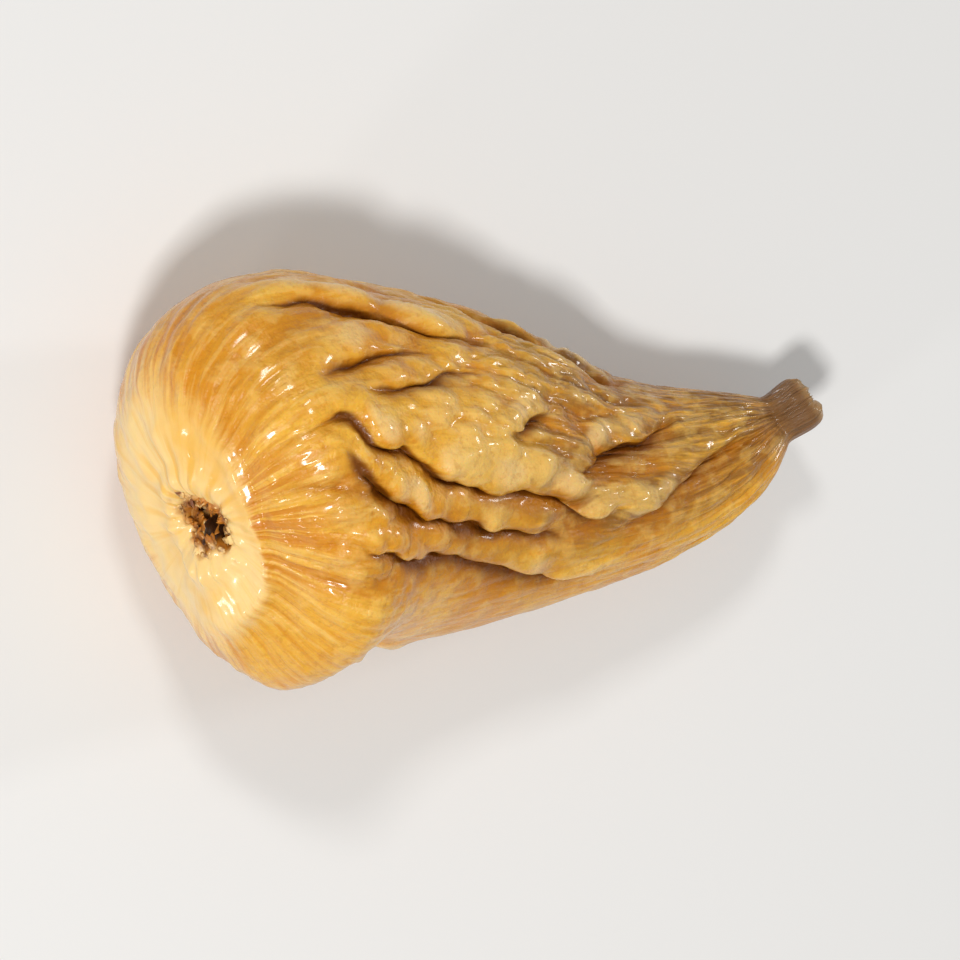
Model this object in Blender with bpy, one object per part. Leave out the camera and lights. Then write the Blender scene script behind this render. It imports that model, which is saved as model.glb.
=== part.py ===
"""A dried fig lying on its side: one solid fruit with its eye, its folds and the stub of its stalk.

Lengths are metres and +Z is up. The fruit's length runs along X, with the eye towards -X, and
it rests on the flat that its own weight has pressed, at Z = 0 under the middle of its box.
"""

import math
import random

import bmesh
import bpy
import numpy as np
from mathutils import noise

MM = 0.001

# The driving sizes of the fruit
LENGTH = 52 * MM  # along the bent axis, from the eye to the cut end of the stalk
GIRTH_RADIUS = 13.9 * MM  # half of the greatest width
FLATNESS = 0.84  # height over width: figs are pressed a little as they are packed
PRESSED_DEPTH = 1.0 * MM  # how far the underside is pressed flat

# The side outline of the fruit: (share of the length, share of the girth radius)
BODY_OUTLINE = (
    (0.000, 0.00),
    (0.010, 0.42),
    (0.040, 0.78),
    (0.095, 0.97),
    (0.165, 1.01),
    (0.260, 0.95),
    (0.380, 0.85),
    (0.500, 0.74),
    (0.620, 0.61),
    (0.740, 0.48),
    (0.830, 0.36),
    (0.890, 0.25),
    (0.925, 0.165),
)
STALK_RADIUS = 1.7 * MM
STALK_OUTLINE = ((0.945, 1.00), (0.985, 1.06), (1.000, 0.90))  # (share of the length, of its radius)

# The axis: (share of the length, pitch in degrees, yaw in degrees) of the way from eye to stalk
AXIS_TURNS = (
    (0.00, -26.0, 31.0),
    (0.20, -15.0, 14.0),
    (0.40, -9.0, -6.0),
    (0.60, -6.0, -1.0),
    (0.80, -2.0, 16.0),
    (1.00, 3.0, 34.0),
)

# The eye is a ragged hole with a broad raised rim in a smooth cap
BASIN_RADIUS = 5.0 * MM
BASIN_DEPTH = 0.4 * MM
EYE_HALF_LENGTH = 2.6 * MM
EYE_HALF_WIDTH = 1.9 * MM
EYE_DEPTH = 1.7 * MM
EYE_TURN = math.radians(-50)  # of its longer way, from the top towards +Y
RIM_RADIUS = 3.4 * MM
RIM_HEIGHT = 0.5 * MM
RIM_WIDTH = 1.2 * MM
CAP_REACH = 5.6 * MM  # from the middle of the eye, on the side of the body
CAP_FAR_REACH = 11.0 * MM  # and on the other side
CAP_TURN = math.radians(-30)  # the way to the side of the body
RIDGE_HEIGHT = 0.6 * MM  # of the ridge at the cap's edge, which is steep on its far side
RIDGE_WIDTH = 1.6 * MM
RIDGE_FAR_WIDTH = 0.7 * MM
SCALES = 9  # the scales that line the hole, each lapping over the next
SCALE_HEIGHT = 0.6 * MM
PLEATS = 15
PLEAT_HEIGHT = 0.07 * MM
PLEATS_END = 9 * MM  # how far the pleats reach from the middle of the eye

# The wrinkles, broad to narrow: (how many round the fruit, length of one, height, where they are read)
WRINKLES = (
    (11, 22 * MM, 0.9 * MM, 7.3),
    (24, 9 * MM, 0.5 * MM, 21.7),
    (44, 4.5 * MM, 0.25 * MM, 52.9),
)
WRINKLE_TWIST = math.radians(14)  # how far they wind round from the eye to the stalk
WRINKLE_SWAY = math.radians(10)  # how far one wanders to either side
LUMPS = (34, 3.2 * MM, 0.5 * MM)  # (lumps round the fruit, length of one, height) of the lumpy patches
LUMP_SHARE = 0.5  # of the room between two lumps that each fills
# Patches: (share of the length, degrees, half length, half breadth)
LUMPY_PATCHES = ((0.36, 13, 9 * MM, 5 * MM), (0.62, -12, 4 * MM, 3 * MM))
CALM_PATCHES = ((0.26, -72, 12 * MM, 9 * MM), (0.10, 50, 8 * MM, 9 * MM), (0.07, -85, 6 * MM, 10 * MM))
CALMED = 0.75  # how much of the wrinkles is missing in the calm patches
# The single knobs of the upper side: (height, patch)
KNOBS = (
    (0.7 * MM, (0.295, 20, 1.4 * MM, 1.0 * MM)),
    (0.5 * MM, (0.285, 12, 1.1 * MM, 0.8 * MM)),
    (0.6 * MM, (0.305, -1, 1.3 * MM, 0.8 * MM)),
    (0.6 * MM, (0.360, 4, 1.8 * MM, 1.4 * MM)),
    (0.5 * MM, (0.400, 10, 1.5 * MM, 1.2 * MM)),
    (0.5 * MM, (0.400, -16, 1.6 * MM, 0.8 * MM)),
    (0.6 * MM, (0.470, 4, 1.5 * MM, 1.2 * MM)),
    (0.7 * MM, (0.600, -13, 1.4 * MM, 1.2 * MM)),
    (0.7 * MM, (0.660, -12, 2.0 * MM, 1.0 * MM)),
)

# The deep folds of the upper side: (depth, its route as share of the length and degrees, 0 at the top
# and positive towards +Y)
UPPER_FOLDS = (
    (1.7 * MM, ((0.10, 6), (0.14, -2), (0.18, -9), (0.24, -14), (0.31, -18), (0.46, -23), (0.56, -28))),
    (1.3 * MM, ((0.11, 20), (0.15, 13), (0.17, 7), (0.23, 4), (0.28, 0), (0.33, -2))),
    (1.6 * MM, ((0.26, -1), (0.30, -5), (0.40, -8), (0.46, -5), (0.51, -7), (0.56, -15), (0.61, -22))),
    (1.3 * MM, ((0.07, -25), (0.14, -28), (0.27, -32), (0.38, -33), (0.49, -42), (0.56, -51), (0.62, -60))),
    (1.0 * MM, ((0.13, 31), (0.17, 33), (0.21, 35), (0.26, 37), (0.32, 38))),
    (0.9 * MM, ((0.18, 23), (0.23, 22), (0.28, 26), (0.33, 31), (0.38, 34))),
    (0.5 * MM, ((0.04, 18), (0.08, 16), (0.12, 16), (0.17, 16))),
    (1.0 * MM, ((0.41, 11), (0.44, 16), (0.47, 23), (0.52, 29))),
    (1.3 * MM, ((0.56, 0), (0.61, 13), (0.64, 18), (0.70, 25), (0.76, 32))),
    (0.9 * MM, ((0.62, -30), (0.69, -19), (0.74, -8), (0.80, 1), (0.86, 10))),
    (1.0 * MM, ((0.20, -112), (0.19, -97), (0.18, -82), (0.165, -66))),
)
# The rest of the girth is folded alike, by a rule
OTHER_FOLDS = 11
OTHER_FOLDS_FROM = 62  # degrees, and on round the underside to the last
OTHER_FOLDS_TO = 262
OTHER_FOLD_DEPTH = 1.3 * MM
CREASE_WIDTH = 1.1 * MM
LIP_HEIGHT = 0.45  # of the depth of the crease beside it

# Swellings and hollows of the whole side: (height, patch as above)
SWELLINGS = (
    (2.2 * MM, (0.04, -110, 6 * MM, 9 * MM)),
    (-1.5 * MM, (0.20, -90, 6 * MM, 7 * MM)),
    (0.9 * MM, (0.44, -95, 9 * MM, 7 * MM)),
    (1.0 * MM, (0.13, 75, 8 * MM, 8 * MM)),
)

# The mesh
SIDES = 90
RINGS = 62
SMOOTHINGS = 1  # so that no crease is narrower than the mesh can carry
CURVE_STEPS = 24


def smooth_step(low, high, value):
    share = np.clip((value - low) / (high - low), 0.0, 1.0)
    return share * share * (3.0 - 2.0 * share)


def curve_through(points, steps=CURVE_STEPS):
    """Places along a smooth (Catmull-Rom) curve through the given points."""
    points = [np.array(point, float) for point in points]
    ends = [2 * points[0] - points[1], *points, 2 * points[-1] - points[-2]]
    found = []
    for before, start, end, after in zip(ends, ends[1:], ends[2:], ends[3:]):
        for step in range(steps):
            t = step / steps
            bend = (2 * before - 5 * start + 4 * end - after) * t**2
            swing = (3 * start - before - 3 * end + after) * t**3
            found.append(0.5 * (2 * start + (end - before) * t + bend + swing))
    return np.array([*found, points[-1]])


def side_outline():
    """The outline from the eye to the middle of the cut end, as evenly spaced (along, radius)."""
    body = [(share * LENGTH, girth * GIRTH_RADIUS) for share, girth in BODY_OUTLINE]
    stalk = [(share * LENGTH, girth * STALK_RADIUS) for share, girth in STALK_OUTLINE]
    outline = np.vstack([curve_through(body + stalk), (LENGTH, 0.0)])
    lengths = np.concatenate([[0.0], np.cumsum(np.hypot(*np.diff(outline, axis=0).T))])
    even = np.linspace(0.0, lengths[-1], len(outline))
    return np.column_stack([np.interp(even, lengths, column) for column in outline.T])


def outline_normals(outline):
    """The outward direction (along, radial) at each point of the side outline."""
    slope = np.gradient(outline, axis=0)
    normals = np.column_stack([-slope[:, 1], slope[:, 0]])
    return normals / np.linalg.norm(normals, axis=1, keepdims=True)


def bent_axis():
    """Stations along the axis, a little past both ends: (along, place, forward, side, up)."""
    turns = curve_through(AXIS_TURNS)
    share = np.linspace(-0.12, 1.12, 249)
    pitch, yaw = (np.radians(np.interp(share, turns[:, 0], turns[:, i])) for i in (1, 2))
    forward = np.column_stack([np.cos(pitch) * np.cos(yaw), np.cos(pitch) * np.sin(yaw), np.sin(pitch)])
    side = np.column_stack([-np.sin(yaw), np.cos(yaw), np.zeros_like(yaw)])
    along = share * LENGTH
    steps = (forward[1:] + forward[:-1]) / 2 * np.diff(along)[:, None]
    place = np.vstack([np.zeros(3), np.cumsum(steps, axis=0)])
    return along, place, forward, side, np.cross(forward, side)


def on_drum(along, angle, rounds, length, seed):
    """Where to read a pattern so that it closes on itself round the fruit."""
    radius = rounds / math.tau
    return np.column_stack([along / length + seed, radius * np.cos(angle), radius * np.sin(angle)])


def sway(along, angle, rounds, length, seed):
    points = on_drum(along, angle, rounds, length, seed)
    return np.array([noise.noise(point) for point in points.tolist()])


def patch(along, angle, place):
    """1 in the middle of a patch, fading to 0 outside it."""
    share, degrees, half_length, half_breadth = place
    turned = (angle - math.radians(degrees) + math.pi) % math.tau - math.pi
    lengthways = (along - share * LENGTH) / half_length
    crossways = turned * GIRTH_RADIUS / half_breadth
    return np.exp(-(lengthways**2) - crossways**2)


def patches(along, angle, places):
    """1 in the middle of each patch, fading to 0 outside them."""
    return np.clip(sum(patch(along, angle, place) for place in places), 0.0, 1.0)


def swellings(along, angle, heights):
    """Rises and hollows, each given as a height and a patch."""
    return sum(height * patch(along, angle, place) for height, place in heights)


def wrinkles(along, angle, past_cap):
    """Rounded folds that branch and join, with sharp creases between them."""
    share = along / LENGTH
    wound = angle + WRINKLE_TWIST * share + WRINKLE_SWAY * sway(along, angle, 6, 11 * MM, 3.1)
    strength = smooth_step(0.0, 8 * MM, past_cap) * (1.0 - 0.7 * smooth_step(0.84, 0.94, share))
    strength = strength * (1.0 - CALMED * patches(along, angle, CALM_PATCHES))
    uneven = np.clip(0.8 + 1.2 * sway(along, angle, 5, 13 * MM, 18.2), 0.3, 1.3)
    relief = np.zeros_like(along)
    for rounds, length, height, seed in WRINKLES:
        relief += height * (np.sqrt(1.6 * np.abs(sway(along, wound, rounds, length, seed))) - 0.5)
    return uneven * strength * relief


def lumps(along, angle):
    """Small round lumps, crowded in patches of the upper side, and the single knobs."""
    rounds, length, height = LUMPS
    near = []
    for point in on_drum(along, angle, rounds, length, 80.5).tolist():
        near.append(noise.voronoi(point)[0][0])
    domes = 1.0 - np.clip(np.array(near) / LUMP_SHARE, 0.0, 1.0) ** 2
    crowded = height * patches(along, angle, LUMPY_PATCHES) * domes
    return crowded + swellings(along, angle, KNOBS)


def fold_routes():
    """The depths and routes of all the deep folds: the upper side's, then the rest by rule."""
    dice = random.Random(4)
    routes = list(UPPER_FOLDS)
    for number in range(OTHER_FOLDS):
        degrees = OTHER_FOLDS_FROM + (OTHER_FOLDS_TO - OTHER_FOLDS_FROM) * number / (OTHER_FOLDS - 1)
        start = dice.uniform(0.10, 0.22) + 0.22 * (number % 2)
        length = dice.uniform(0.28, 0.42)
        route = []
        for step in range(6):
            route.append((start + length * step / 5, degrees))
            degrees += dice.uniform(-6, 6)
        routes.append((OTHER_FOLD_DEPTH * dice.uniform(0.7, 1.1), route))
    return routes


def across_route(along, angle, radius, route):
    """How far each point is from the route, positive on its +Y side, and the share of the route."""
    line = curve_through(route, 6) * (LENGTH, math.radians(1))
    distance = np.full_like(along, np.inf)
    reached = np.zeros_like(along)
    for number, (start, end) in enumerate(zip(line, line[1:])):
        ahead, turn = end - start
        turn = turn * radius
        beyond = along - start[0]
        aside = ((angle - start[1] + math.pi) % math.tau - math.pi) * radius
        step = np.clip((beyond * ahead + aside * turn) / (ahead**2 + turn**2), 0.0, 1.0)
        gap = np.hypot(beyond - step * ahead, aside - step * turn)
        nearer = gap < np.abs(distance)
        side = np.where(ahead * aside - turn * beyond > 0, 1.0, -1.0)
        distance = np.where(nearer, side * gap, distance)
        reached = np.where(nearer, (number + step) / (len(line) - 1), reached)
    return distance, reached


def deep_folds(along, angle, radius):
    """Each deep fold is a crease, steep on its +Y side, where a lip of skin stands over it."""
    angle = angle + math.radians(3) * sway(along, angle, 22, 4 * MM, 60.5)
    relief = np.zeros_like(along)
    for depth, route in fold_routes():
        distance, reached = across_route(along, angle, radius, route)
        strength = depth * (4.0 * reached * (1.0 - reached)) ** 0.7
        width = np.where(distance > 0, 0.7 * CREASE_WIDTH, 1.6 * CREASE_WIDTH)
        crease = -np.exp(-((np.abs(distance) / width) ** 1.4))
        lip = LIP_HEIGHT * np.exp(-(((distance - 1.6 * CREASE_WIDTH) / CREASE_WIDTH) ** 2))
        relief += strength * (crease + lip)
    return relief


def beyond_cap(along, angle, from_eye):
    """How far each point is past the edge of the smooth cap that surrounds the eye."""
    far = (1.0 - np.cos(angle - CAP_TURN)) / 2
    edge = CAP_REACH + (CAP_FAR_REACH - CAP_REACH) * far
    return from_eye - edge * (1.0 + 0.12 * sway(along, angle, 8, 6 * MM, 44.4))


def eye(along, angle, radius, past_cap):
    """The basin, rim, ridge, pleats, hole and scales of the eye, on the end where along is 0."""
    ragged = 1.0 + 0.35 * sway(radius, angle, 9, 1.2 * MM, 12.4)
    lengthways = radius * np.cos(angle - EYE_TURN) / EYE_HALF_LENGTH
    crossways = radius * np.sin(angle - EYE_TURN) / EYE_HALF_WIDTH
    from_middle = np.hypot(lengthways, crossways) * ragged
    basin = -BASIN_DEPTH * np.exp(-((radius / BASIN_RADIUS) ** 4))
    rim = RIM_HEIGHT * np.exp(-(((radius - RIM_RADIUS) / RIM_WIDTH) ** 2))
    width = np.where(past_cap < 0, RIDGE_WIDTH, RIDGE_FAR_WIDTH)
    ridge = RIDGE_HEIGHT * np.exp(-((past_cap / width) ** 2))
    ridge = ridge * smooth_step(-0.4, 0.8, np.cos(angle - CAP_TURN))
    hole = -EYE_DEPTH * (1.0 - smooth_step(0.35, 1.2, from_middle))
    lapped = (SCALES * angle / math.tau + 0.2 * sway(radius, angle, 6, 2 * MM, 55.5)) % 1.0
    scales = SCALE_HEIGHT * lapped * np.exp(-(((from_middle - 0.7) / 0.3) ** 2))
    gathered = smooth_step(1.2 * MM, 3 * MM, radius)
    gathered = gathered * (1.0 - smooth_step(0.5 * PLEATS_END, PLEATS_END, radius))
    pleats = np.sin(PLEATS * angle + 2.5 * sway(along, angle, 5, 3 * MM, 33.3))
    pleats = PLEAT_HEIGHT * gathered * pleats
    return np.where(along < 0.2 * LENGTH, basin + rim + ridge + hole + scales + pleats, 0.0)


def sphere_mesh(sides, rings):
    """A ball with its poles on Z: the upper becomes the eye and the lower the stalk's cut end."""
    shape = bmesh.new()
    bmesh.ops.create_uvsphere(shape, u_segments=sides, v_segments=rings, radius=1.0)
    return shape


def place_on_fruit(ball):
    """Moves each point of the ball, given as rows of x, y and z, to its place on the fruit."""
    latitude = np.arccos(np.clip(ball[:, 2], -1.0, 1.0)) / math.pi
    crowded = latitude - 0.4 * np.sin(math.tau * latitude) / math.tau
    angle = np.arctan2(ball[:, 1], ball[:, 0])
    outline = side_outline()
    normals = outline_normals(outline)
    stations = np.linspace(0.0, 1.0, len(outline))
    along, radius = (np.interp(crowded, stations, column) for column in outline.T)
    ahead, outward = (np.interp(crowded, stations, column) for column in normals.T)
    past_cap = beyond_cap(along, angle, crowded * np.hypot(*np.diff(outline, axis=0).T).sum())
    rise = wrinkles(along, angle, past_cap) + lumps(along, angle) + deep_folds(along, angle, radius)
    rise += eye(along, angle, radius, past_cap) + swellings(along, angle, SWELLINGS)
    rise += 0.8 * MM * sway(along, angle, 4, 16 * MM, 40.2) * smooth_step(0.0, 0.1, along / LENGTH)
    flatness = 1.0 - (1.0 - FLATNESS) * (1.0 - smooth_step(0.80, 0.92, along / LENGTH))
    along = along + ahead * rise
    across = (radius + outward * rise) * np.sin(angle)
    height = (radius + outward * rise) * np.cos(angle) * flatness
    station, place, _, side, up = bent_axis()
    columns = [[np.interp(along, station, column) for column in part.T] for part in (place, side, up)]
    place, side, up = (np.array(part).T for part in columns)
    return place + side * across[:, None] + up * height[:, None]


def settle(points):
    """Presses the underside flat and puts the origin under the middle of the box."""
    floor = points[:, 2].min() + PRESSED_DEPTH
    points[:, 2] = np.maximum(points[:, 2] - floor, 0.0)
    middle = (points.min(axis=0) + points.max(axis=0)) / 2
    points[:, :2] -= middle[:2]
    return points


def skin_material():
    material = bpy.data.materials.new("fig_skin")
    material.use_nodes = True
    shader = material.node_tree.nodes["Principled BSDF"]
    shader.inputs["Base Color"].default_value = (0.78, 0.45, 0.13, 1.0)
    shader.inputs["Roughness"].default_value = 0.42
    shader.inputs["Metallic"].default_value = 0.0
    return material


def build_fig(collection):
    shape = sphere_mesh(SIDES, RINGS)
    ball = np.array([vertex.co for vertex in shape.verts])
    for vertex, place in zip(shape.verts, place_on_fruit(ball)):
        vertex.co = place
    for _ in range(SMOOTHINGS):
        bmesh.ops.smooth_vert(
            shape, verts=shape.verts, factor=0.5, use_axis_x=True, use_axis_y=True, use_axis_z=True
        )
    settled = settle(np.array([vertex.co for vertex in shape.verts]))
    for vertex, place in zip(shape.verts, settled):
        vertex.co = place
    bmesh.ops.recalc_face_normals(shape, faces=shape.faces)
    mesh = bpy.data.meshes.new("fig")
    shape.to_mesh(mesh)
    shape.free()
    mesh.shade_smooth()
    mesh.materials.append(skin_material())
    fig = bpy.data.objects.new("fig", mesh)
    collection.objects.link(fig)
    return fig


def main():
    for old in list(bpy.data.objects):
        bpy.data.objects.remove(old)
    collection = bpy.data.collections.new("dried_fig")
    bpy.context.scene.collection.children.link(collection)
    build_fig(collection)


if __name__ == "__main__":
    main()
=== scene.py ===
"""A dried fig on a pale floor: its folded skin and cut stalk, and the scales in its eye."""

import math
import random

import bmesh
import bpy
import numpy as np
from mathutils import Matrix, Vector, noise


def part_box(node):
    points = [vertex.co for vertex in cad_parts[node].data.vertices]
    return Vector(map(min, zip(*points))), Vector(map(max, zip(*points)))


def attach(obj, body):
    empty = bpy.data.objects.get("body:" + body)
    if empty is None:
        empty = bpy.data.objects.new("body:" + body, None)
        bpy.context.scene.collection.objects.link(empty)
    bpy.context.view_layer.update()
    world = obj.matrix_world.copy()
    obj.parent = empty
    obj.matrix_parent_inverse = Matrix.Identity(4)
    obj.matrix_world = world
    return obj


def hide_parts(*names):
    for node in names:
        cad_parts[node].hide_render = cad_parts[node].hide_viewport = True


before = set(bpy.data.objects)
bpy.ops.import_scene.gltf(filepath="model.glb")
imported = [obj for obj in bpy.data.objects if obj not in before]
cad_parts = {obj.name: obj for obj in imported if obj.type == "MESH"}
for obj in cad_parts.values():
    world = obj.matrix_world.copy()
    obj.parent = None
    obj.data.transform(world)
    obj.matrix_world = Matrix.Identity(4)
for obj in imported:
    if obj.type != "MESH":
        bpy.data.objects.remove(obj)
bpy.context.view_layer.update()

# The fruit: sweet flesh under a thin skin, grown as one piece with the stub of its stalk. Drying
# drew the skin into long folds between the eye, at the fat end, and the stalk, and packing pressed
# it a little. It lies loose on its own flat.

MM = 0.001
LENGTH = 52 * MM
GIRTH_RADIUS = 13.9 * MM
FLATNESS = 0.84
PRESSED_DEPTH = 1.0 * MM
PRESSED_EDGE = 0.15 * MM
UNEVENNESS = 0.8 * MM

# (share of the length, share of the girth radius)
BODY_OUTLINE = (
    (0.000, 0.00),
    (0.010, 0.42),
    (0.040, 0.78),
    (0.095, 0.97),
    (0.165, 1.01),
    (0.260, 0.95),
    (0.380, 0.85),
    (0.500, 0.74),
    (0.620, 0.61),
    (0.740, 0.48),
    (0.830, 0.36),
    (0.890, 0.25),
    (0.925, 0.165),
)
STALK_RADIUS = 1.7 * MM
STALK_OUTLINE = ((0.945, 1.00), (0.985, 1.06), (1.000, 0.90))

# (share of the length, pitch in degrees, yaw in degrees) of the axis, from the eye to the stalk
AXIS_TURNS = (
    (0.00, -26.0, 31.0),
    (0.20, -15.0, 14.0),
    (0.40, -9.0, -6.0),
    (0.60, -6.0, -1.0),
    (0.80, -2.0, 16.0),
    (1.00, 3.0, 34.0),
)

# The wrinkles, broad to narrow: (how many round the fruit, length of one, height, where they are read)
WRINKLES = (
    (11, 22 * MM, 0.9 * MM, 7.3),
    (24, 9 * MM, 0.5 * MM, 21.7),
    (44, 4.5 * MM, 0.36 * MM, 52.9),
    (70, 2.4 * MM, 0.22 * MM, 91.1),
    (110, 1.5 * MM, 0.12 * MM, 12.6),
)
WRINKLE_TWIST = math.radians(14)
WRINKLE_SWAY = math.radians(10)
# The ribs: (how many round the fruit, length of one, height, sharpness, where they are read)
RIBS = ((26, 10 * MM, 0.26 * MM, 4.0, 14.6), (90, 5 * MM, 0.16 * MM, 4.0, 33.9))
RIBS_TURN = math.radians(10)
# The smooth cap round the eye: how far it reaches on the side of the body and on the other side
CAP_REACH = 5.6 * MM
CAP_FAR_REACH = 11.0 * MM
CAP_TURN = math.radians(-30)
# The lumps, large to small: (how many round the fruit, length of one, height, where they are read)
LUMPS = ((34, 3.2 * MM, 0.5 * MM, 80.5), (60, 1.8 * MM, 0.2 * MM, 17.2))
LUMP_SHARE = 0.5
# (share of the length, degrees from the top towards +Y, half length, half breadth)
LUMPY_PATCHES = ((0.36, 13, 9 * MM, 5 * MM), (0.62, -12, 4 * MM, 3 * MM))
CALM_PATCHES = ((0.26, -72, 12 * MM, 9 * MM), (0.10, 50, 8 * MM, 9 * MM), (0.07, -85, 6 * MM, 10 * MM))
CALMED = 0.75
# Single lumps that the photograph shows, then broad rises and hollows: (height, patch)
KNOBS = (
    (0.7 * MM, (0.295, 20, 1.4 * MM, 1.0 * MM)),
    (0.5 * MM, (0.285, 12, 1.1 * MM, 0.8 * MM)),
    (0.6 * MM, (0.305, -1, 1.3 * MM, 0.8 * MM)),
    (0.6 * MM, (0.360, 4, 1.8 * MM, 1.4 * MM)),
    (0.5 * MM, (0.400, 10, 1.5 * MM, 1.2 * MM)),
    (0.5 * MM, (0.400, -16, 1.6 * MM, 0.8 * MM)),
    (0.6 * MM, (0.470, 4, 1.5 * MM, 1.2 * MM)),
    (0.7 * MM, (0.600, -13, 1.4 * MM, 1.2 * MM)),
    (0.7 * MM, (0.660, -12, 2.0 * MM, 1.0 * MM)),
)
SWELLINGS = (
    (2.2 * MM, (0.04, -110, 6 * MM, 9 * MM)),
    (-1.5 * MM, (0.20, -90, 6 * MM, 7 * MM)),
    (0.9 * MM, (0.44, -95, 9 * MM, 7 * MM)),
    (1.0 * MM, (0.13, 75, 8 * MM, 8 * MM)),
)

# The deep folds of the upper side: (depth, its route as share of the length and degrees)
UPPER_FOLDS = (
    (1.7 * MM, ((0.10, 6), (0.14, -2), (0.18, -9), (0.24, -14), (0.31, -18), (0.46, -23), (0.56, -28))),
    (1.3 * MM, ((0.11, 20), (0.15, 13), (0.17, 7), (0.23, 4), (0.28, 0), (0.33, -2))),
    (1.6 * MM, ((0.26, -1), (0.30, -5), (0.40, -8), (0.46, -5), (0.51, -7), (0.56, -15), (0.61, -22))),
    (1.3 * MM, ((0.07, -25), (0.14, -28), (0.27, -32), (0.38, -33), (0.49, -42), (0.56, -51), (0.62, -60))),
    (1.0 * MM, ((0.13, 31), (0.17, 33), (0.21, 35), (0.26, 37), (0.32, 38))),
    (0.9 * MM, ((0.18, 23), (0.23, 22), (0.28, 26), (0.33, 31), (0.38, 34))),
    (0.5 * MM, ((0.04, 18), (0.08, 16), (0.12, 16), (0.17, 16))),
    (1.0 * MM, ((0.41, 11), (0.44, 16), (0.47, 23), (0.52, 29))),
    (1.3 * MM, ((0.56, 0), (0.61, 13), (0.64, 18), (0.70, 25), (0.76, 32))),
    (0.9 * MM, ((0.62, -30), (0.69, -19), (0.74, -8), (0.80, 1), (0.86, 10))),
    (1.0 * MM, ((0.20, -112), (0.19, -97), (0.18, -82), (0.165, -66))),
)
# The folds made by rule: how many, the angles that they start between, and how deep
OTHER_FOLDS = 11
OTHER_FOLDS_FROM = 62
OTHER_FOLDS_TO = 262
OTHER_FOLD_DEPTH = 1.3 * MM
# The form of a fold: its lip's height and how far the lip slides over the crease, as shares of the depth
CREASE_WIDTH = 0.9 * MM
LIP_HEIGHT = 0.4
OVERHANG = 0.8

# The eye, the ridge round it and the pleats of the skin gathered into it
BASIN_RADIUS = 5.0 * MM
BASIN_DEPTH = 0.4 * MM
EYE_HALF_LENGTH = 2.6 * MM
EYE_HALF_WIDTH = 1.9 * MM
EYE_DEPTH = 1.7 * MM
EYE_TURN = math.radians(-50)
RAGGEDNESS = 0.3
RIM_RADIUS = 3.4 * MM
RIM_HEIGHT = 0.6 * MM
RIM_WIDTH = 1.0 * MM
RIDGE_HEIGHT = 0.6 * MM
RIDGE_WIDTH = 1.6 * MM
RIDGE_FAR_WIDTH = 0.7 * MM
PLEATS = 17
PLEAT_HEIGHT = 0.07 * MM
PLEATS_TURN = math.radians(85)
PLEATS_END = 9 * MM
# The rises and hollows of the fat end: how deep, and the size of the broad and the small ones
DENT_DEPTH = 0.22 * MM
DENT_SIZE = 2.6 * MM
SMALL_DENT_SIZE = 1.1 * MM
SMALL_DENT_SHARE = 0.45

# The cut end of the stalk and the soft pith in its middle
CUT_ROUGHNESS = 0.25 * MM
CUT_GRAIN = 0.45 * MM
PITH_RADIUS = 0.5 * MM
PITH_DEPTH = 0.35 * MM

# The ball that the skin is shaped from, and how often each of its edges is cut
BALL_SIDES = 120
BALL_RINGS = 50
BALL_CUTS = 3
CURVE_STEPS = 24


def smooth_step(low, high, value):
    share = np.clip((value - low) / (high - low), 0.0, 1.0)
    return share * share * (3.0 - 2.0 * share)


def curve_through(points, steps=CURVE_STEPS):
    """Places along a smooth (Catmull-Rom) curve through the given points."""
    points = [np.array(point, float) for point in points]
    ends = [2 * points[0] - points[1], *points, 2 * points[-1] - points[-2]]
    found = []
    for before, start, end, after in zip(ends, ends[1:], ends[2:], ends[3:]):
        for step in range(steps):
            t = step / steps
            bend = (2 * before - 5 * start + 4 * end - after) * t**2
            swing = (3 * start - before - 3 * end + after) * t**3
            found.append(0.5 * (2 * start + (end - before) * t + bend + swing))
    return np.array([*found, points[-1]])


def side_outline():
    """The outline from the eye to the middle of the cut end, as evenly spaced (along, radius)."""
    body = [(share * LENGTH, girth * GIRTH_RADIUS) for share, girth in BODY_OUTLINE]
    stalk = [(share * LENGTH, girth * STALK_RADIUS) for share, girth in STALK_OUTLINE]
    outline = np.vstack([curve_through(body + stalk), (LENGTH, 0.0)])
    lengths = np.concatenate([[0.0], np.cumsum(np.hypot(*np.diff(outline, axis=0).T))])
    even = np.linspace(0.0, lengths[-1], len(outline))
    return np.column_stack([np.interp(even, lengths, column) for column in outline.T])


def outline_normals(outline):
    slope = np.gradient(outline, axis=0)
    normals = np.column_stack([-slope[:, 1], slope[:, 0]])
    return normals / np.linalg.norm(normals, axis=1, keepdims=True)


def bent_axis():
    """Stations along the axis, a little past both ends: (along, place, forward, side, up)."""
    turns = curve_through(AXIS_TURNS)
    share = np.linspace(-0.12, 1.12, 249)
    pitch, yaw = (np.radians(np.interp(share, turns[:, 0], turns[:, i])) for i in (1, 2))
    forward = np.column_stack([np.cos(pitch) * np.cos(yaw), np.cos(pitch) * np.sin(yaw), np.sin(pitch)])
    side = np.column_stack([-np.sin(yaw), np.cos(yaw), np.zeros_like(yaw)])
    along = share * LENGTH
    steps = (forward[1:] + forward[:-1]) / 2 * np.diff(along)[:, None]
    place = np.vstack([np.zeros(3), np.cumsum(steps, axis=0)])
    return along, place, forward, side, np.cross(forward, side)


def on_drum(along, angle, rounds, length, seed):
    """Where to read a pattern so that it closes on itself round the fruit."""
    radius = rounds / math.tau
    return np.column_stack([along / length + seed, radius * np.cos(angle), radius * np.sin(angle)])


def sway(along, angle, rounds, length, seed):
    points = on_drum(along, angle, rounds, length, seed)
    return np.array([noise.noise(point) for point in points.tolist()])


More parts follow.
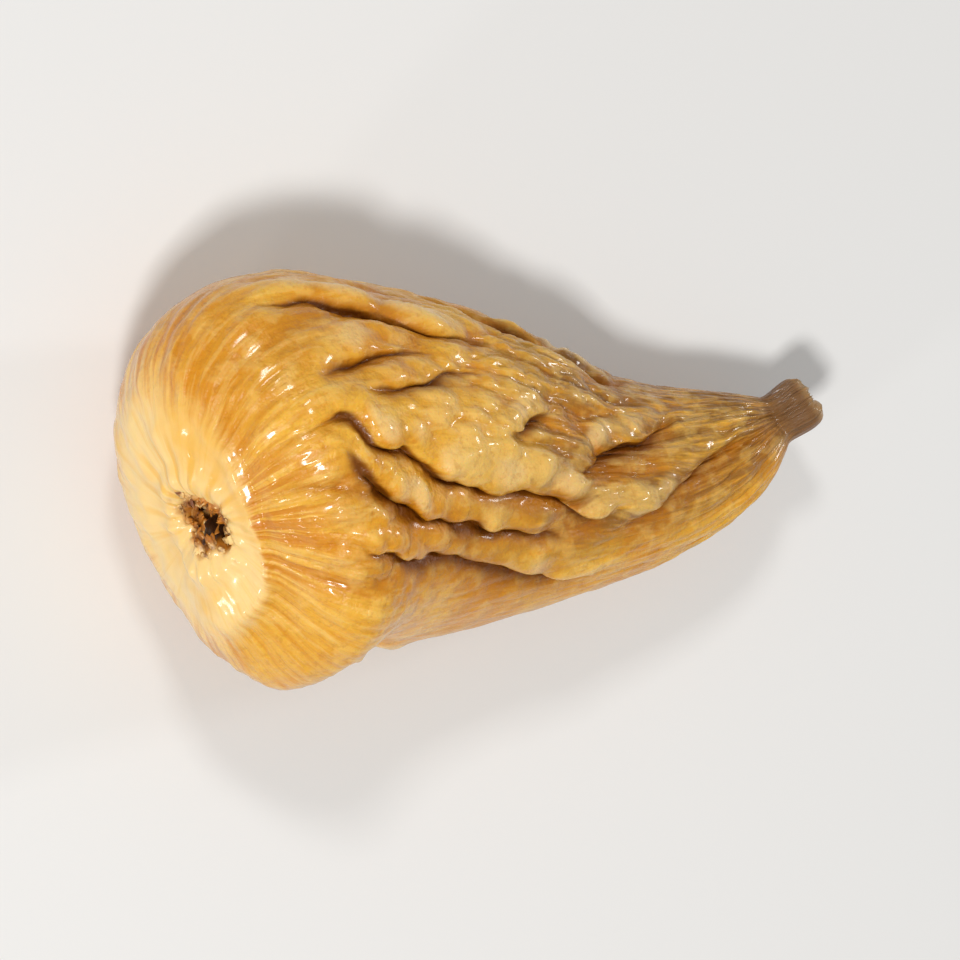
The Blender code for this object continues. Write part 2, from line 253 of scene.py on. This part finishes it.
def patch(along, angle, place):
    """1 in the middle of a patch, fading to 0 outside it."""
    share, degrees, half_length, half_breadth = place
    turned = (angle - math.radians(degrees) + math.pi) % math.tau - math.pi
    lengthways = (along - share * LENGTH) / half_length
    crossways = turned * GIRTH_RADIUS / half_breadth
    return np.exp(-(lengthways**2) - crossways**2)


def patches(along, angle, places):
    """1 in the middle of each patch, fading to 0 outside them."""
    return np.clip(sum(patch(along, angle, place) for place in places), 0.0, 1.0)


def swellings(along, angle, heights):
    """Rises and hollows, each given as a height and a patch."""
    return sum(height * patch(along, angle, place) for height, place in heights)


def calm(along, angle):
    """1 where the skin is smooth on the far side of the cap, fading to 0 where it is folded."""
    return patches(along, angle, CALM_PATCHES)


def wrinkles(along, angle, past_cap):
    """Rounded folds that branch and join, with sharp creases between: the broad ones, then the rest."""
    share = along / LENGTH
    wound = angle + WRINKLE_TWIST * share + WRINKLE_SWAY * sway(along, angle, 6, 11 * MM, 3.1)
    strength = smooth_step(0.0, 7 * MM, past_cap) * (1.0 - 0.7 * smooth_step(0.84, 0.94, share))
    strength = strength * (1.0 - CALMED * calm(along, angle))
    uneven = np.clip(0.8 + 1.2 * sway(along, angle, 5, 13 * MM, 18.2), 0.3, 1.3)
    reliefs = []
    for rounds, length, height, seed in WRINKLES:
        fold = np.sqrt(1.6 * np.abs(sway(along, wound, rounds, length, seed))) - 0.5
        reliefs.append(height * uneven * strength * fold)
    return reliefs[0], sum(reliefs[1:])


def ribs(along, angle, past_cap):
    """Thin lengthwise ribs of skin, closest just behind the smooth cap."""
    strength = smooth_step(0.0, 3 * MM, past_cap) * (1.0 - 0.6 * smooth_step(6 * MM, 16 * MM, past_cap))
    strength = strength * (0.15 + 0.85 * smooth_step(0.3, 0.9, np.cos(angle - RIBS_TURN)))
    strength = strength * (1.0 - CALMED * calm(along, angle))
    relief = np.zeros_like(along)
    for rounds, length, height, sharpness, seed in RIBS:
        wound = angle + math.radians(5) * sway(along, angle, 15, 5 * MM, seed + 2)
        ridge = 1.0 - sharpness * np.abs(sway(along, wound, rounds, length, seed))
        relief += height * strength * np.maximum(ridge, 0.0)
    return relief


def lumps(along, angle):
    """Round lumps, crowded in patches of the upper side."""
    relief = np.zeros_like(along)
    for rounds, length, height, seed in LUMPS:
        places = on_drum(along, angle, rounds, length, seed).tolist()
        near = np.array([noise.voronoi(place)[0][0] for place in places])
        relief += height * (1.0 - np.clip(near / LUMP_SHARE, 0.0, 1.0) ** 2)
    return relief * patches(along, angle, LUMPY_PATCHES) + swellings(along, angle, KNOBS)


def fold_routes():
    """The depths and routes of all the deep folds: the upper side's, then the rest by rule."""
    dice = random.Random(4)
    routes = list(UPPER_FOLDS)
    for number in range(OTHER_FOLDS):
        degrees = OTHER_FOLDS_FROM + (OTHER_FOLDS_TO - OTHER_FOLDS_FROM) * number / (OTHER_FOLDS - 1)
        start = dice.uniform(0.10, 0.22) + 0.22 * (number % 2)
        length = dice.uniform(0.28, 0.42)
        route = []
        for step in range(6):
            route.append((start + length * step / 5, degrees))
            degrees += dice.uniform(-6, 6)
        routes.append((OTHER_FOLD_DEPTH * dice.uniform(0.7, 1.1), route))
    return routes


def across_route(along, angle, radius, route):
    """How far each point is from the route, positive on its +Y side, and the share of the route."""
    line = curve_through(route, 6) * (LENGTH, math.radians(1))
    distance = np.full_like(along, np.inf)
    reached = np.zeros_like(along)
    for number, (start, end) in enumerate(zip(line, line[1:])):
        ahead, turn = end - start
        turn = turn * radius
        beyond = along - start[0]
        aside = ((angle - start[1] + math.pi) % math.tau - math.pi) * radius
        step = np.clip((beyond * ahead + aside * turn) / (ahead**2 + turn**2), 0.0, 1.0)
        gap = np.hypot(beyond - step * ahead, aside - step * turn)
        nearer = gap < np.abs(distance)
        side = np.where(ahead * aside - turn * beyond > 0, 1.0, -1.0)
        distance = np.where(nearer, side * gap, distance)
        reached = np.where(nearer, (number + step) / (len(line) - 1), reached)
    return distance, reached


def deep_folds(along, angle, radius):
    """Each deep fold is a sharp crease with a lip of skin on its +Y side, which slides out over it."""
    uneven = 1.0 + 0.8 * sway(along, angle, 40, 2.2 * MM, 27.7)
    angle = angle + math.radians(3) * sway(along, angle, 22, 4 * MM, 60.5)
    angle = angle + math.radians(2) * sway(along, angle, 50, 1.8 * MM, 11.1)
    relief = np.zeros_like(along)
    slide = np.zeros_like(along)
    for depth, route in fold_routes():
        distance, reached = across_route(along, angle, radius, route)
        strength = depth * (4.0 * reached * (1.0 - reached)) ** 0.7
        width = np.where(distance > 0, 0.6 * CREASE_WIDTH, 1.5 * CREASE_WIDTH)
        crease = -np.exp(-np.abs(distance) / width)
        lip = LIP_HEIGHT * uneven * np.exp(-(((distance - 1.4 * CREASE_WIDTH) / CREASE_WIDTH) ** 2))
        relief += strength * (crease + lip)
        slide -= OVERHANG * strength * np.exp(-(((distance / CREASE_WIDTH - 0.8) / 0.8) ** 2))
    return relief, slide


def dented(angle, radius, size):
    """Rises and hollows of one size over the face of either end."""
    level = np.full_like(angle, size)
    places = np.column_stack([radius * np.cos(angle), radius * np.sin(angle), level]) / size
    return np.array([noise.noise(place) for place in places.tolist()])


def beyond_cap(along, angle, from_eye):
    """How far each point is past the edge of the smooth cap that surrounds the eye."""
    far = (1.0 - np.cos(angle - CAP_TURN)) / 2
    edge = CAP_REACH + (CAP_FAR_REACH - CAP_REACH) * far
    return from_eye - edge * (1.0 + 0.12 * sway(along, angle, 8, 6 * MM, 44.4))


def eye(along, angle, radius, past_cap):
    """The relief of the eye, on the end where along is 0, and where its hole and its pleats lie."""
    ragged = 1.0 + RAGGEDNESS * sway(radius, angle, 9, 1.2 * MM, 12.4)
    ragged = ragged + RAGGEDNESS * sway(radius, angle, 26, 0.6 * MM, 71.2)
    lengthways = radius * np.cos(angle - EYE_TURN) / EYE_HALF_LENGTH
    crossways = radius * np.sin(angle - EYE_TURN) / EYE_HALF_WIDTH
    from_middle = np.hypot(lengthways, crossways) * ragged
    basin = -BASIN_DEPTH * np.exp(-((radius / BASIN_RADIUS) ** 4))
    notched = 1.0 + 0.7 * sway(radius, angle, 30, 2 * MM, 46.1)
    rim = RIM_HEIGHT * notched * np.exp(-(((radius - RIM_RADIUS) / RIM_WIDTH) ** 2))
    width = np.where(past_cap < 0, RIDGE_WIDTH, RIDGE_FAR_WIDTH)
    ridge = RIDGE_HEIGHT * np.exp(-((past_cap / width) ** 2))
    ridge = ridge * smooth_step(-0.4, 0.8, np.cos(angle - CAP_TURN))
    hole = -EYE_DEPTH * (1.0 - smooth_step(0.35, 1.2, from_middle))
    gathered = smooth_step(1.2 * MM, 3 * MM, radius)
    gathered = gathered * (1.0 - smooth_step(0.5 * PLEATS_END, PLEATS_END, radius))
    pleats = np.sin(PLEATS * angle + 2.5 * sway(along, angle, 5, 3 * MM, 33.3))
    pleats = gathered * pleats * (0.6 + 0.4 * np.cos(angle - PLEATS_TURN))
    dents = dented(angle, radius, DENT_SIZE) + SMALL_DENT_SHARE * dented(angle, radius, SMALL_DENT_SIZE)
    dents = DENT_DEPTH * dents * smooth_step(2.5 * MM, 4 * MM, radius)
    relief = basin + rim + ridge + hole + PLEAT_HEIGHT * pleats + dents
    return np.where(along < 0.2 * LENGTH, relief, 0.0), from_middle, pleats


def cut_end(along, angle, radius):
    """The ragged cut of the stalk, with its pith sunk in."""
    ragged = CUT_ROUGHNESS * dented(angle, radius, CUT_GRAIN)
    pith = -PITH_DEPTH * np.exp(-((radius / PITH_RADIUS) ** 2))
    return (ragged + pith) * smooth_step(0.985, 0.999, along / LENGTH)


def fine_ball():
    """A ball with its poles on Z: the upper becomes the eye and the lower the stalk's cut end."""
    shape = bmesh.new()
    bmesh.ops.create_uvsphere(shape, u_segments=BALL_SIDES, v_segments=BALL_RINGS, radius=1.0)
    bmesh.ops.subdivide_edges(shape, edges=shape.edges, cuts=BALL_CUTS, use_grid_fill=True)
    for vertex in shape.verts:
        vertex.co.normalize()
    return shape


def place_on_fruit(ball):
    """The place of each point of the ball on the fruit, and what the skin's finish depends on."""
    latitude = np.arccos(np.clip(ball[:, 2], -1.0, 1.0)) / math.pi
    crowded = latitude - 0.4 * np.sin(math.tau * latitude) / math.tau
    angle = np.arctan2(ball[:, 1], ball[:, 0])
    outline = side_outline()
    stations = np.linspace(0.0, 1.0, len(outline))
    along, radius = (np.interp(crowded, stations, column) for column in outline.T)
    ahead, outward = (np.interp(crowded, stations, column) for column in outline_normals(outline).T)
    from_eye = crowded * np.hypot(*np.diff(outline, axis=0).T).sum()
    past_cap = beyond_cap(along, angle, from_eye)
    deep, slide = deep_folds(along, angle, radius)
    broad, narrow = wrinkles(along, angle, past_cap)
    fine = narrow + lumps(along, angle) + ribs(along, angle, past_cap)
    at_eye, from_middle, pleats = eye(along, angle, radius, past_cap)
    rise = deep + broad + fine + at_eye + cut_end(along, angle, radius) + swellings(along, angle, SWELLINGS)
    rise += UNEVENNESS * sway(along, angle, 4, 16 * MM, 40.2) * smooth_step(0.0, 0.1, along / LENGTH)
    # The body is pressed, and the neck and the stalk stay round
    flatness = 1.0 - (1.0 - FLATNESS) * (1.0 - smooth_step(0.80, 0.92, along / LENGTH))
    # The cap's colour ends sharply on the side of the body and fades out slowly on the other side
    far = (1.0 - np.cos(angle - CAP_TURN)) / 2
    facts = {
        "cap": 1.0 - np.clip((past_cap / MM + 0.4 + 5.0 * far) / (0.9 + 12.0 * far), 0.0, 1.0),
        "calm": calm(along, angle),
        "fold_height": deep / MM,
        "broad_height": (deep + broad) / MM,
        "fine_height": fine / MM,
        "share": along / LENGTH,
        "past_cap": past_cap / MM,
        "eye_distance": from_eye / MM,
        "pleats": np.where(along < 0.2 * LENGTH, pleats, 0.0),
        "hole": np.where(along < 0.2 * LENGTH, from_middle, 20.0),
        "drum": on_drum(along, angle, math.tau * GIRTH_RADIUS / MM, 1 * MM, 0.0),
    }
    along = along + ahead * rise
    angle = angle + slide / np.maximum(radius, STALK_RADIUS)
    across = (radius + outward * rise) * np.sin(angle)
    height = (radius + outward * rise) * np.cos(angle) * flatness
    station, place, _, side, up = bent_axis()
    columns = [[np.interp(along, station, column) for column in part.T] for part in (place, side, up)]
    place, side, up = (np.array(part).T for part in columns)
    return place + side * across[:, None] + up * height[:, None], facts


def settle(points, low, high):
    """Presses the underside flat and sets the skin in the box of the solid fruit."""
    above = points[:, 2] - points[:, 2].min() - PRESSED_DEPTH
    points[:, 2] = (above + np.hypot(above, PRESSED_EDGE)) / 2
    own_low, own_high = points.min(axis=0), points.max(axis=0)
    return (points - own_low) * (np.array(high) - low) / (own_high - own_low) + low


shape = fine_ball()
points, facts = place_on_fruit(np.array([vertex.co for vertex in shape.verts]))
points = settle(points, *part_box("fig"))
for vertex, point in zip(shape.verts, points):
    vertex.co = point
bmesh.ops.recalc_face_normals(shape, faces=shape.faces)
skin = bpy.data.meshes.new("fruit")
shape.to_mesh(skin)
shape.free()
skin.shade_smooth()
for name, values in facts.items():
    kind = "FLOAT_VECTOR" if values.ndim == 2 else "FLOAT"
    attribute = skin.attributes.new(name, kind, "POINT")
    attribute.data.foreach_set("vector" if values.ndim == 2 else "value", values.astype(np.float32).ravel())
fruit = bpy.data.objects.new("fruit", skin)
bpy.context.scene.collection.objects.link(fruit)


def node(tree, kind, inputs=(), **options):
    """Adds a shader node, sets its options, and sets or links its inputs."""
    made = tree.nodes.new("ShaderNode" + kind)
    for name, value in options.items():
        setattr(made, name, value)
    for name, value in dict(inputs).items():
        if isinstance(value, bpy.types.NodeSocket):
            tree.links.new(value, made.inputs[name])
        else:
            made.inputs[name].default_value = value
    return made


def calculate(tree, operation, first, second):
    return node(tree, "Math", {0: first, 1: second}, operation=operation).outputs[0]


def fade(tree, value, low, high, smooth=True):
    """0 where the value is low, 1 where it is high."""
    kind = "SMOOTHSTEP" if smooth else "LINEAR"
    inputs = {"Value": value, "From Min": low, "From Max": high}
    return node(tree, "MapRange", inputs, interpolation_type=kind).outputs["Result"]


def tint(tree, share, under, over, way="MIX"):
    """The colour under, with the colour over laid on it where the share is high."""
    made = node(tree, "Mix", {0: share, 6: under, 7: over}, data_type="RGBA", blend_type=way)
    return made.outputs[2]


def mottle(tree, vector, scale, detail=4.0, roughness=0.55):
    inputs = {"Vector": vector, "Scale": scale, "Detail": detail, "Roughness": roughness}
    return node(tree, "TexNoise", inputs).outputs["Fac"]


def fact(tree, name, output="Fac"):
    return node(tree, "Attribute", attribute_name=name).outputs[output]


def colour(red, green, blue):
    """A colour as painters' charts give it, from 0 to 255, as the shader takes it."""
    channels = [(part / 255 + 0.055) ** 2.4 / 1.055**2.4 for part in (red, green, blue)]
    return (*channels, 1.0)


CREAM = colour(250, 212, 140)
PALE = colour(248, 202, 108)
STRAW = colour(240, 180, 58)
GOLD = colour(222, 144, 8)
DEEP_GOLD = colour(208, 124, 2)
AMBER = colour(186, 112, 10)
CREASE_SHADE_BROWN = colour(116, 60, 4)
DARK_BROWN_AND_SHADE = colour(52, 26, 8)
TAN_AND_SHADE = colour(126, 78, 20)
WOOD = colour(132, 92, 52)
CUT_WOOD = colour(196, 156, 104)
SKIN_ROUGHNESS = 0.38
SYRUP = 0.6


def skin_finish():
    """Amber, half clear skin, with a painted highlight on the tops of its folds and brown painted shade in
    its creases.
    """
    material = bpy.data.materials.new("dried_fig_skin")
    material.use_nodes = True
    tree = material.node_tree
    shader = tree.nodes["Principled BSDF"]
    drum = fact(tree, "drum", "Vector")
    fold = fact(tree, "fold_height")
    broad = fact(tree, "broad_height")
    fine = fact(tree, "fine_height")
    share = fact(tree, "share")
    past_cap = fact(tree, "past_cap")
    cap_share = fact(tree, "cap")
    eye_distance = fact(tree, "eye_distance")
    rough = calculate(tree, "SUBTRACT", 1.0, fact(tree, "calm"))
    hole = fact(tree, "hole")
    place = node(tree, "TexCoord").outputs["Object"]
    sideways = node(tree, "SeparateXYZ", {0: drum}).outputs["Z"]

    stretched = node(tree, "Mapping", {"Vector": drum, "Scale": (0.22, 1.0, 1.0)}).outputs[0]
    fibres = mottle(tree, stretched, 1.1, 5.0)
    blotches = mottle(tree, place, 150.0, 3.0)
    pores = mottle(tree, place, 1500.0, 3.0, 0.65)
    pebbles = mottle(tree, place, 560.0, 3.0, 0.5)

    # Gold to straw with the fibres of the skin mixed in, and straw on the rises of the fine relief as a
    # painted highlight; browner towards the neck, partly its own tan and partly painted shade on its upper
    # side
    fibres_and_lit_tops = calculate(tree, "MULTIPLY_ADD", fibres, 1.2)
    tree.links.new(fine, fibres_and_lit_tops.node.inputs[2])
    base = tint(tree, fade(tree, fibres_and_lit_tops, 0.25, 0.75), GOLD, STRAW)
    base = tint(tree, calculate(tree, "MULTIPLY", fade(tree, blotches, 0.45, 0.62), 0.7), base, GOLD)
    streaks = mottle(tree, stretched, 1.8, 3.0)
    base = tint(tree, calculate(tree, "MULTIPLY", fade(tree, streaks, 0.54, 0.64), 0.4), base, PALE)
    base = tint(tree, calculate(tree, "MULTIPLY", fade(tree, streaks, 0.46, 0.36), 0.25), base, AMBER)
    # Painted shade: tan over the neck's upper side, fading out before its lower edge, on top of the neck's
    # own browner tone
    neck = calculate(tree, "MULTIPLY", fade(tree, share, 0.30, 0.62), fade(tree, fibres, 0.30, 0.55))
    neck = calculate(tree, "MULTIPLY", neck, fade(tree, sideways, -11.0, -5.0))
    base = tint(tree, calculate(tree, "MULTIPLY", neck, 0.85), base, TAN_AND_SHADE)

    # Painted shade: amber in the hollows. Painted highlight: cream on the lips of the folds and pale on the
    # tops. Then pale and dark flecks
    base = tint(tree, calculate(tree, "MULTIPLY", fade(tree, broad, 0.15, -0.55), 0.8), base, AMBER)
    # Painted shade in the fine hollows, away from the smooth patches
    hollows = calculate(tree, "MULTIPLY", fade(tree, fine, -0.05, -0.3), rough)
    base = tint(tree, calculate(tree, "MULTIPLY", hollows, 0.6), base, AMBER)
    base = tint(tree, calculate(tree, "MULTIPLY", fade(tree, fold, 0.10, 0.45), 0.65), base, CREAM)
    base = tint(tree, calculate(tree, "MULTIPLY", fade(tree, fibres_and_lit_tops, 0.85, 1.2), 0.6), base, PALE)
    base = tint(tree, calculate(tree, "MULTIPLY", fade(tree, pebbles, 0.50, 0.66), 0.35), base, PALE)
    base = tint(tree, calculate(tree, "MULTIPLY", fade(tree, pores, 0.46, 0.34), 0.25), base, AMBER)

    # A gold band lies behind the smooth cap, which is cream to straw
    band = calculate(tree, "MULTIPLY", fade(tree, past_cap, 12.0, 2.0), fade(tree, fibres, 0.56, 0.48))
    band = calculate(tree, "MULTIPLY", band, rough)
    base = tint(tree, calculate(tree, "MULTIPLY", band, 0.9), base, DEEP_GOLD)
    cap = tint(tree, calculate(tree, "MULTIPLY", fade(tree, blotches, 0.40, 0.68), 0.7), CREAM, STRAW)
    cap = tint(tree, calculate(tree, "MULTIPLY", fade(tree, fibres, 0.48, 0.68), 0.35), cap, STRAW)
    cap = tint(tree, calculate(tree, "MULTIPLY", fade(tree, eye_distance, 5.2, 3.6), 0.8), cap, CREAM)
    pleats = fade(tree, fact(tree, "pleats"), -0.2, -0.8)
    cap = tint(tree, calculate(tree, "MULTIPLY", pleats, 0.6), cap, STRAW)
    feathered = calculate(tree, "MULTIPLY_ADD", fibres, 0.9)
    tree.links.new(cap_share, feathered.node.inputs[2])
    base = tint(tree, fade(tree, feathered, 0.62, 1.15), base, cap)

    # Brown painted shade in the creases, the hole of the eye and the woody stub
    base = tint(tree, calculate(tree, "MULTIPLY", fade(tree, fold, -0.25, -0.8), 0.95), base, CREASE_SHADE_BROWN)
    base = tint(tree, fade(tree, hole, 1.15, 0.85), base, AMBER)
    # Dark brown in the middle of the hole: partly its own colour and partly painted shade of the deep hole
    base = tint(tree, fade(tree, hole, 0.95, 0.6), base, DARK_BROWN_AND_SHADE)
    base = tint(tree, fade(tree, share, 0.90, 0.96), base, WOOD)
    base = tint(tree, calculate(tree, "MULTIPLY", fade(tree, share, 0.985, 0.999), 0.7), base, CUT_WOOD)
    tree.links.new(base, shader.inputs["Base Color"])

    matt = {"Value": pores, "To Min": SKIN_ROUGHNESS - 0.12, "To Max": SKIN_ROUGHNESS + 0.15}
    tree.links.new(node(tree, "MapRange", matt).outputs[0], shader.inputs["Roughness"])
    shader.inputs["Subsurface Weight"].default_value = 0.2
    shader.inputs["Subsurface Radius"].default_value = (1.0, 0.5, 0.15)
    shader.inputs["Subsurface Scale"].default_value = 0.8 * MM
    shader.inputs["Specular IOR Level"].default_value = 0.3
    dry = {"Value": fold, "From Min": -0.7, "From Max": -0.1, "To Min": 0.1, "To Max": SYRUP}
    tree.links.new(node(tree, "MapRange", dry).outputs[0], shader.inputs["Coat Weight"])
    shader.inputs["Coat Roughness"].default_value = 0.13

    folds = mottle(tree, stretched, 0.9, 3.0, 0.5)
    grain = calculate(tree, "ADD", calculate(tree, "MULTIPLY", folds, 0.6), pebbles)
    grain = calculate(tree, "ADD", grain, calculate(tree, "MULTIPLY", pores, 0.3))
    on_cap = calculate(tree, "MULTIPLY", fade(tree, past_cap, 1.0, -1.0), 0.75)
    smoother = calculate(tree, "SUBTRACT", 1.0, on_cap)
    grain = calculate(tree, "MULTIPLY", calculate(tree, "SUBTRACT", grain, 0.95), smoother)
    bump = node(tree, "Bump", {"Height": grain, "Strength": 0.9, "Distance": 0.45 * MM})
    tree.links.new(bump.outputs["Normal"], shader.inputs["Normal"])
    return material


skin.materials.append(skin_finish())
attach(fruit, "root")
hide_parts("fig")

# The scales of the eye: small brown bracts, as a fig grows them in rings round its mouth. Each is a
# thin papery flap that roots in the wall of the hole and leans inwards. They grew with the fruit.

# The rings: (how many, share of the hole where they root, length, width, dip for each length)
SCALE_RINGS = (
    (21, 1.02, 0.7 * MM, 0.8 * MM, 0.0),
    (15, 0.90, 1.0 * MM, 0.9 * MM, 0.15),
    (14, 0.74, 1.3 * MM, 0.9 * MM, 0.45),
    (11, 0.56, 1.1 * MM, 0.8 * MM, 0.75),
)
SCALE_THICKNESS = 0.05 * MM
SCALE_ROOT = 0.2 * MM
SCALE_AMBER = colour(206, 128, 34)
SCALE_BROWN = colour(128, 70, 24)


def hole_frame():
    """The middle of the hole's edge, two directions across it and the way out of it."""
    edge = points[np.abs(facts["hole"] - 1.0) < 0.1]
    middle = edge.mean(axis=0)
    across, _, outward = (Vector(row) for row in np.linalg.svd(edge - middle)[2])
    outward = -outward if outward.x > 0 else outward
    return Vector(middle), across, outward.cross(across), outward


def on_wall(turn, share):
    """The place on the hole's wall in one direction, at the given share of the hole."""
    middle, across, upward, _ = hole_frame()
    wall = points[np.abs(facts["hole"] - share) < 0.12]
    turns = np.arctan2((wall - middle) @ np.array(upward), (wall - middle) @ np.array(across))
    near = np.argsort(np.abs((turns - turn + math.pi) % math.tau - math.pi))[:4]
    return Vector(wall[near].mean(axis=0))


def add_scale(shape, root, inward, outward, sizes, dice):
    length, width, dip = sizes
    sideways = inward.cross(outward)
    curl, lean, place = dice.uniform(-0.1, 0.35), dice.uniform(-0.3, 0.3), dice.uniform(0.0, 50.0)
    made = bmesh.ops.create_grid(shape, x_segments=8, y_segments=12, size=0.5)["verts"]
    for vertex in made:
        side, reach = 2 * vertex.co.x, vertex.co.y + 0.5
        ragged = 1.0 + 0.6 * noise.noise((side, 3 * reach, place))
        breadth = 0.5 * width * math.sqrt(max(1.0 - reach**2.4, 0.02)) * ragged
        ahead = length * reach * (1.0 + 0.4 * noise.noise((2.5 * side, 9.0, place)))
        rise = length * (curl * reach**2 - dip * reach - 0.2 * side**2)
        rise += 0.1 * MM * noise.noise((2 * side, 3 * reach, place + 9))
        aside = side * breadth + lean * ahead * reach
        vertex.co = root + inward * ahead + sideways * aside + outward * rise
    faces = list({face for vertex in made for face in vertex.link_faces})
    bmesh.ops.solidify(shape, geom=faces, thickness=SCALE_THICKNESS)


shape = bmesh.new()
dice = random.Random(8)
middle, across, upward, outward = hole_frame()
for count, share, length, width, dip in SCALE_RINGS:
    for number in range(count):
        turn = math.tau * (number + dice.uniform(-0.25, 0.25)) / count
        root = on_wall(turn, share)
        inward = (middle - root) - outward * (middle - root).dot(outward)
        long, wide, dipping = dice.uniform(0.6, 1.3), dice.uniform(0.7, 1.3), dice.uniform(-0.1, 0.1)
        sizes = (length * long, width * wide, dip + dipping)
        inward = inward.normalized()
        add_scale(shape, root - inward * SCALE_ROOT, inward, outward, sizes, dice)
bmesh.ops.recalc_face_normals(shape, faces=shape.faces)
scale_mesh = bpy.data.meshes.new("eye_scales")
shape.to_mesh(scale_mesh)
shape.free()
scale_mesh.shade_smooth()
eye_scales = bpy.data.objects.new("eye_scales", scale_mesh)
bpy.context.scene.collection.objects.link(eye_scales)


def scale_finish():
    """Dry brown bract, amber in places and cream at the edge of the eye."""
    material = bpy.data.materials.new("eye_scale_brown")
    material.use_nodes = True
    tree = material.node_tree
    shader = tree.nodes["Principled BSDF"]
    place = node(tree, "TexCoord").outputs["Object"]
    streaks = mottle(tree, place, 900.0, 4.0)
    base = tint(tree, fade(tree, streaks, 0.35, 0.6), SCALE_BROWN, SCALE_AMBER)
    base = tint(tree, fade(tree, mottle(tree, place, 2600.0), 0.58, 0.7), base, CREAM)
    from_middle = node(tree, "VectorMath", {0: place, 1: middle}, operation="DISTANCE").outputs["Value"]
    outer = fade(tree, from_middle, 1.5 * MM, 2.3 * MM)
    base = tint(tree, calculate(tree, "MULTIPLY", outer, fade(tree, streaks, 0.3, 0.5)), base, CREAM)
    tree.links.new(base, shader.inputs["Base Color"])
    shader.inputs["Roughness"].default_value = 0.45
    bump = node(tree, "Bump", {"Height": streaks, "Strength": 0.6, "Distance": 0.1 * MM})
    tree.links.new(bump.outputs["Normal"], shader.inputs["Normal"])
    return material


scale_mesh.materials.append(scale_finish())
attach(eye_scales, "root")

# The floor, the light and the camera: a plain pale floor under an even white sky, four small lamps
# that give the sticky skin its glints, and a long lens that looks down on the fruit from the side
# of its eye, as the photograph does.

FLOOR_SIZE = 3.0
FLOOR_COLOUR = (0.82, 0.81, 0.79, 1.0)
CAMERA_AZIMUTH = math.radians(-90)
CAMERA_ELEVATION = math.radians(69)
CAMERA_DISTANCE = 0.6
FIELD_WIDTH = 68 * MM
SENSOR_WIDTH = 36.0

shape = bmesh.new()
bmesh.ops.create_grid(shape, x_segments=1, y_segments=1, size=FLOOR_SIZE / 2)
floor_mesh = bpy.data.meshes.new("floor")
shape.to_mesh(floor_mesh)
shape.free()
floor = bpy.data.objects.new("floor", floor_mesh)
bpy.context.scene.collection.objects.link(floor)
floor_finish = bpy.data.materials.new("pale_floor")
floor_finish.use_nodes = True
floor_shader = floor_finish.node_tree.nodes["Principled BSDF"]
floor_shader.inputs["Base Color"].default_value = FLOOR_COLOUR
floor_shader.inputs["Roughness"].default_value = 0.6
floor_mesh.materials.append(floor_finish)

world = bpy.data.worlds.new("studio")
bpy.context.scene.world = world
world.use_nodes = True
world.node_tree.nodes["Background"].inputs["Color"].default_value = (1.0, 1.0, 1.0, 1.0)
world.node_tree.nodes["Background"].inputs["Strength"].default_value = 0.26


def lamp(name, place, size, watts):
    light = bpy.data.lights.new(name, "AREA")
    light.size = size
    light.energy = watts
    holder = bpy.data.objects.new(name, light)
    bpy.context.scene.collection.objects.link(holder)
    holder.location = place
    holder.rotation_mode = "QUATERNION"
    holder.rotation_quaternion = Vector(place).to_track_quat("Z", "Y")


lamp("key_lamp", (-0.21, -0.18, 0.48), 0.08, 1.75)
lamp("left_lamp", (-0.38, -0.28, 0.14), 0.05, 0.25)
lamp("back_lamp", (-0.14, 0.30, 0.42), 0.08, 0.6)
lamp("right_lamp", (0.42, 0.14, 0.20), 0.06, 0.35)

camera_data = bpy.data.cameras.new("camera")
camera_data.sensor_width = SENSOR_WIDTH
camera_data.lens = SENSOR_WIDTH * CAMERA_DISTANCE / FIELD_WIDTH
camera_data.clip_start = 0.01
camera = bpy.data.objects.new("camera", camera_data)
bpy.context.scene.collection.objects.link(camera)
target = Vector((0.0, 0.0, 9 * MM))
back = Vector(
    (
        math.sin(CAMERA_AZIMUTH) * math.cos(CAMERA_ELEVATION),
        -math.cos(CAMERA_AZIMUTH) * math.cos(CAMERA_ELEVATION),
        math.sin(CAMERA_ELEVATION),
    )
)
right = Vector((0.0, 1.0, 0.0)).cross(back).normalized()
turn = Matrix((right, back.cross(right), back)).transposed().to_4x4()
camera.matrix_world = Matrix.Translation(target + back * CAMERA_DISTANCE) @ turn
bpy.context.scene.camera = camera
bpy.context.scene.view_settings.view_transform = "Standard"
